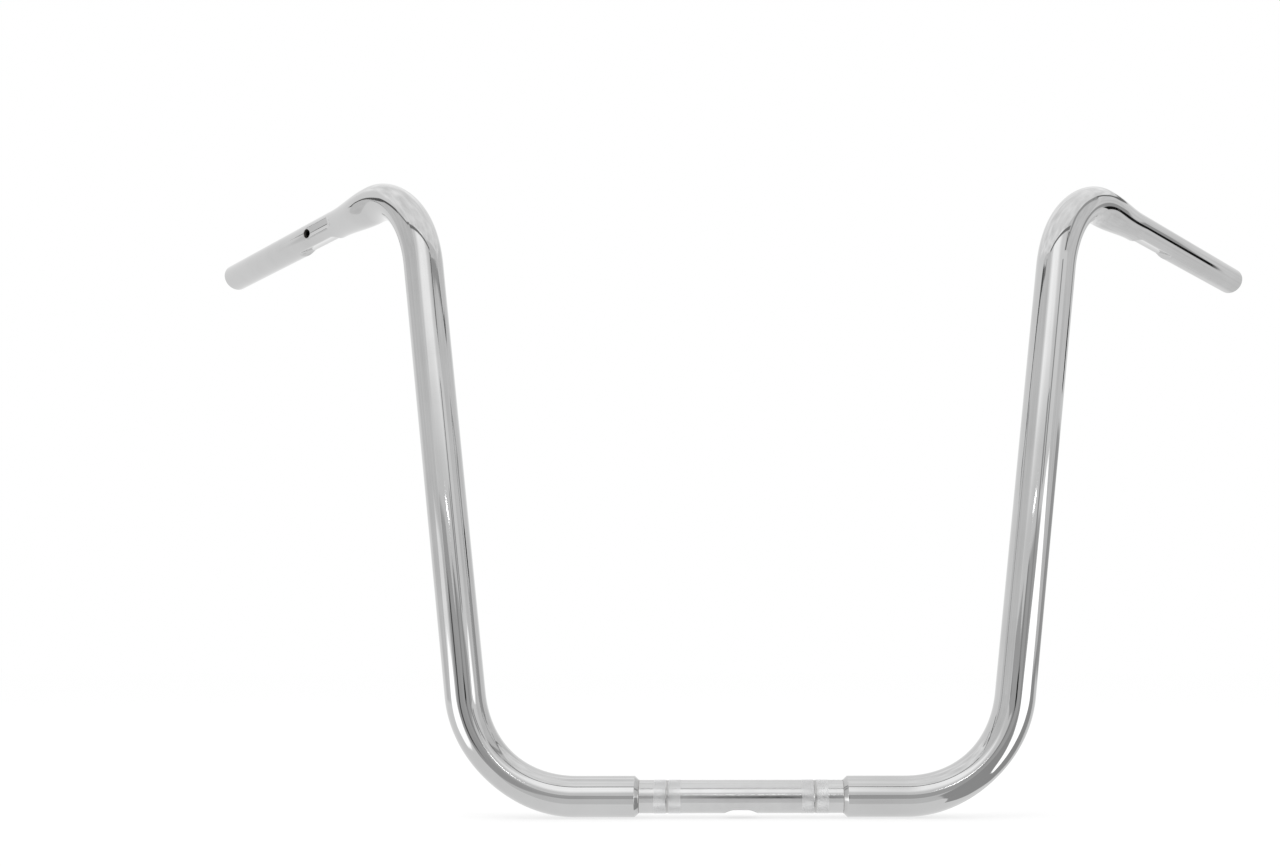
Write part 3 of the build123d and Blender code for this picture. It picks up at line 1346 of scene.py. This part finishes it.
@dataclass
class Studio:
    """The white room, its floor and lamps, the cards that the chrome mirrors, and the camera."""

    floor_level: float = -16.1 * MM
    floor_size: float = 40.0
    floor_glow: float = 0.7
    floor_grain: float = 30.0
    floor_paint: tuple[float, float, float, float] = (0.98, 0.98, 0.98, 1.0)
    world_light: float = 1.0
    lamp_power: float = 9.0
    lamp_size: tuple[float, float] = (1.6, 1.1)
    lamp_place: Place = (-0.5, -0.5, 2.0)
    focal_pixels: float = 1300.0
    optical_axis: tuple[float, float] = (731.0, 504.0)
    camera_place: Place = (-0.01966, -1.03246, 0.10143)
    camera_pitch: float = 7.067
    camera_yaw: float = -0.658
    sensor_width: float = 36.0
    clip_start: float = 10.0 * MM
    bar_middle: Place = (0.0, 0.05, 0.25)
    cards: tuple[StudioCard, ...] = (
        StudioCard(
            "front_cloth", 1.58, upright((-0.36, -1.11), (0.12, -1.01), 0.8, 1.8), softness=0.4, creases=0.15
        ),
        StudioCard(
            "tent_roof",
            1.45,
            ((-1.8, -0.9, 1.9), (1.8, -0.9, 1.9), (1.8, 1.6, 1.9), (-1.8, 1.6, 1.9)),
            softness=0.4,
            creases=0.48,
            crease_scale=2.2,
        ),
        StudioCard("front_middle", 0.97, upright((-1.1, -1.75), (1.28, -1.75), 0.36, 0.8), softness=0.12),
        StudioCard(
            "front_low",
            0.59,
            (
                (-1.1, -1.55, -0.2), (1.28, -1.55, -0.2), (1.28, -1.55, 0.34), (0.0, -1.55, 0.34),
                (-0.12, -1.55, 0.23), (-0.34, -1.55, 0.23), (-0.44, -1.55, 0.37), (-1.1, -1.55, 0.37),
            ),
            softness=0.05,
        ),
        StudioCard("front_skirt", 0.86, upright((-1.0, -1.6), (1.0, -1.6), -1.1, -0.3), softness=0.2),
        StudioCard("front_stand", 0.11, upright((-0.83, -1.25), (-0.73, -1.25), -0.2, 0.17), softness=0.08),
        StudioCard("camera_stand", 0.03, upright((0.0, -1.4), (0.155, -1.4), -0.2, 0.13), softness=0.03),
        StudioCard("camera_head", 0.4, upright((0.02, -1.42), (0.135, -1.42), 0.1, 0.34), softness=0.03),
        StudioCard(
            "hem_light",
            11.0,
            ((-0.025, -1.69, 0.505), (0.085, -1.69, 0.498), (0.195, -1.69, 0.505), (0.085, -1.69, 0.512)),
            softness=0.006,
            creases=0.0,
        ),
        StudioCard(
            "left_wall",
            0.985,
            sight(
                LEFT_TOP, 1.7,
                (-112, -20), (-33, -20), (-29, 15), (-32, 46), (-50, 42), (-70, 41), (-90, 33), (-110, 16),
            ),
            softness=0.06,
            creases=0.3,
        ),
        StudioCard(
            "left_softbox",
            1.9,
            sight(
                LEFT_LOW, 1.2,
                (-46, -3.5), (-40, -11), (-43, -19), (-56, -26),
                (-72, -28), (-77, -20), (-73, -7), (-60, -2),
            ),
            softness=0.05,
            creases=0.0,
            throw=1.45,
        ),
        StudioCard(
            "left_softbox_rim",
            1.32,
            sight(LEFT_LOW, 1.25, (-47, -6), (-46, 5), (-63, 7), (-72, -6)),
            softness=0.08,
        ),
        StudioCard(
            "left_table",
            0.55,
            sight(
                LEFT_LOW, 1.5,
                (-36, 2), (-4, 2), (-3, -6), (-7, -15), (-13, -21), (-23, -26), (-34, -21), (-37, -10),
            ),
            softness=0.06,
        ),
        StudioCard(
            "right_wall",
            1.005,
            sight(
                RIGHT_TOP, 1.7,
                (56, -20), (104, -20), (104, 40), (90, 46), (28, 52), (30, 24), (50, 20), (55, 6),
            ),
            softness=0.08,
            creases=0.3,
        ),
        StudioCard(
            "right_back_wall",
            1.03,
            sight(RIGHT_GRIP, 1.9, (106, -42), (172, -42), (172, 32), (106, 32)),
            softness=0.1,
            creases=0.3,
        ),
        StudioCard("right_stand", 0.5, upright((0.6, 0.06), (0.446, 0.262), 0.08, 0.31), softness=0.025),
        StudioCard("right_gap", 0.01, upright((1.172, 0.302), (1.113, 0.448), 0.45, 0.55), softness=0.022),
        StudioCard("right_gap_head", 0.48, upright((1.23, 0.28), (1.172, 0.436), 0.52, 0.7), softness=0.05),
        StudioCard(
            "right_table",
            0.46,
            sight(
                RIGHT_LOW, 1.6,
                (8, -4), (10, -20), (20, -39), (30, -48), (40, -56), (50, -62), (80, -62), (100, -57),
                (110, -50), (124, -40), (124, -30), (112, -22), (107, -4), (84, -2), (30, -1),
            ),
            softness=0.03,
        ),
        StudioCard(
            "right_softbox",
            2.0,
            sight(
                RIGHT_LOW, 1.12,
                (24, -3), (34, -12), (42, -22), (50, -33), (60, -40), (71, -42), (70, -25), (72, -15),
                (77, -6), (76, -1), (69, 5), (61, 10), (54, 14), (46, 13.5), (41, 11), (37, 6), (30, 1.5),
            ),
            softness=0.03,
            creases=0.0,
            throw=1.4,
        ),
        StudioSeam(
            "right_pole", 0.22, ((0.96, -0.97, 0.95), (1.0, -0.94, 1.2), (1.06, -0.9, 1.5)), width=0.05
        ),
        StudioSeam(
            "right_pole_foot", 0.44, ((1.0, -1.45, 0.42), (1.0, -1.45, 0.7), (1.0, -1.45, 0.95)), width=0.05
        ),
        StudioSeam(
            "front_pole",
            0.48,
            ((0.67, -1.45, -0.05), (0.67, -1.45, 0.3), (0.67, -1.45, 0.62)),
            softness=0.04,
            width=0.08,
        ),
        StudioSeam(
            "front_rod",
            0.28,
            ((-1.0, -0.95, 1.55), (0.0, -0.9, 1.52), (1.04, -0.86, 1.5)),
            softness=0.02,
            width=0.05,
        ),
        StudioSeam(
            "left_seam_foot",
            0.3,
            ((-0.5, -0.32, 0.86), (-0.59, -0.307, 0.837), (-0.762, -0.263, 0.908), (-0.938, -0.186, 0.981)),
            softness=0.02,
            width=0.03,
            faces_to=LEFT_TOP,
        ),
        StudioSeam(
            "left_seam",
            0.14,
            ((-0.938, -0.186, 0.981), (-1.447, -0.015, 1.195), (-1.72, 0.3, 1.18), (-1.82, 0.65, 0.84)),
            softness=0.02,
            width=0.05,
            faces_to=LEFT_TOP,
        ),
        StudioSeam(
            "right_seam",
            0.51,
            (
                (1.03, -0.95, 1.2), (0.81, -0.56, 0.98), (0.523, -0.173, 0.789), (0.52, -0.11, 0.785),
                (0.55, -0.03, 0.78), (0.672, 0.069, 0.828), (0.76, 0.153, 0.842),
            ),
            softness=0.05,
            width=0.08,
            faces_to=RIGHT_TOP,
        ),
        StudioSeam(
            "right_seam_end",
            0.22,
            (
                (0.63, 0.03, 0.82), (0.7, 0.12, 0.85), (0.79, 0.267, 0.843), (0.745, 0.338, 0.8),
                (0.642, 0.38, 0.758), (0.568, 0.441, 0.758),
            ),
            softness=0.02,
            width=0.045,
            faces_to=RIGHT_TOP,
        ),
    )

    def white_when_seen(self, graph: Graph) -> bpy.types.NodeSocket:
        """Adds the test for what the camera, mirrors and glass look at.

        Args:
            graph: The material's or the world's graph.

        Returns:
            1 for rays of those three kinds, otherwise 0.
        """
        path = graph.add("ShaderNodeLightPath").outputs
        seen = graph.math("MAXIMUM", path["Is Camera Ray"], path["Is Glossy Ray"])
        return graph.math("MAXIMUM", seen, path["Is Transmission Ray"])

    def build_world(self) -> None:
        """Makes the room: white where it is looked at, and soft even light elsewhere."""
        world = bpy.data.worlds.new("white_room")
        world.use_nodes = True
        bpy.context.scene.world = world
        graph = Graph(world.node_tree)
        background = world.node_tree.nodes["Background"]
        background.inputs["Color"].default_value = WHITE
        seen = self.white_when_seen(graph)
        strength = graph.math("MULTIPLY_ADD", seen, 1.0 - self.world_light, self.world_light)
        graph.feed(background.inputs["Strength"], strength)

    def build_floor(self) -> bpy.types.Object:
        """Makes the floor, which is white where it is looked at and keeps the bar's shadow.

        Returns:
            The floor's object.
        """
        half = self.floor_size / 2
        corners = [(x * half, y * half, self.floor_level) for x, y in ((-1, -1), (1, -1), (1, 1), (-1, 1))]
        mesh = bpy.data.meshes.new("floor")
        mesh.from_pydata(corners, [], [(0, 1, 2, 3)])
        material = bpy.data.materials.new("white_floor")
        material.use_nodes = True
        material.node_tree.nodes.clear()
        graph = Graph(material.node_tree)
        place = graph.add("ShaderNodeTexCoord").outputs["Object"]
        grain = graph.noise(place, self.floor_grain, detail=4.0)
        paint = graph.mix(grain, self.floor_paint, WHITE)
        matt = graph.add("ShaderNodeBsdfDiffuse", {"Color": paint})
        glow = graph.add("ShaderNodeEmission", {"Strength": 1.0})
        share = graph.math("MULTIPLY", self.white_when_seen(graph), self.floor_glow)
        mixed = graph.add("ShaderNodeMixShader", {0: share, 1: matt.outputs[0], 2: glow.outputs[0]})
        graph.add("ShaderNodeOutputMaterial", {"Surface": mixed.outputs[0]})
        mesh.materials.append(material)
        floor = add_piece("floor", mesh)
        floor.visible_glossy = False
        return floor

    def build_lamp(self) -> None:
        """Hangs a broad soft lamp over the bar."""
        lamp = bpy.data.lights.new("overhead_softbox", "AREA")
        lamp.shape = "RECTANGLE"
        lamp.size = self.lamp_size[0]
        lamp.size_y = self.lamp_size[1]
        lamp.energy = self.lamp_power
        holder = bpy.data.objects.new("overhead_softbox", lamp)
        bpy.context.scene.collection.objects.link(holder)
        holder.location = self.lamp_place
        aim = Vector(self.bar_middle) - holder.location
        holder.rotation_euler = aim.to_track_quat("-Z", "Y").to_euler()
        holder.visible_camera = False
        holder.visible_glossy = False

    def build_camera(self) -> None:
        """Places the camera where the photograph was taken from."""
        camera = bpy.data.cameras.new("photo_camera")
        camera.sensor_fit = "HORIZONTAL"
        camera.sensor_width = self.sensor_width
        camera.lens = self.focal_pixels / PHOTO_WIDTH * self.sensor_width
        camera.shift_x = (PHOTO_WIDTH / 2 - self.optical_axis[0]) / PHOTO_WIDTH
        camera.shift_y = (self.optical_axis[1] - PHOTO_HEIGHT / 2) / PHOTO_WIDTH
        camera.clip_start = self.clip_start
        holder = bpy.data.objects.new("photo_camera", camera)
        bpy.context.scene.collection.objects.link(holder)
        holder.location = self.camera_place
        holder.rotation_euler = (math.radians(90 + self.camera_pitch), 0.0, math.radians(self.camera_yaw))
        bpy.context.scene.camera = holder

    def build(self) -> None:
        """Makes the whole studio."""
        bpy.context.scene.view_settings.view_transform = "Standard"
        self.build_world()
        self.build_floor()
        self.build_lamp()
        cloth = build_card_group()
        for card in self.cards:
            card.build(cloth)
        self.build_camera()


def main() -> None:
    logging.basicConfig(level=logging.INFO, format="%(name)s: %(message)s")
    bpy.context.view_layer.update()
    Studio().build()
    marks = PlatingMarks().build()
    chrome = POLISHED_CHROME.make(marks)
    satin = SATIN_CHROME.make(marks)
    knurled = KNURLED_CHROME.make(marks)
    bore_steel = BORE_STEEL.make(marks)

    clamp_tube = ClampTube().build(satin, bore_steel)
    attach(clamp_tube, BODY)
    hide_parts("clamp_tube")
    report_piece(clamp_tube)

    knurling = Knurling().build(knurled)
    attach(knurling, BODY)
    report_piece(knurling)

    bender = build_bender_tree(("Lower", "Upper"))
    for side in Side:
        bar = BarTube(side).build(bender, chrome, bore_steel)
        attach(bar, BODY)
        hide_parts(side.node)
        report_piece(bar)


if __name__ == "__main__":
    main()
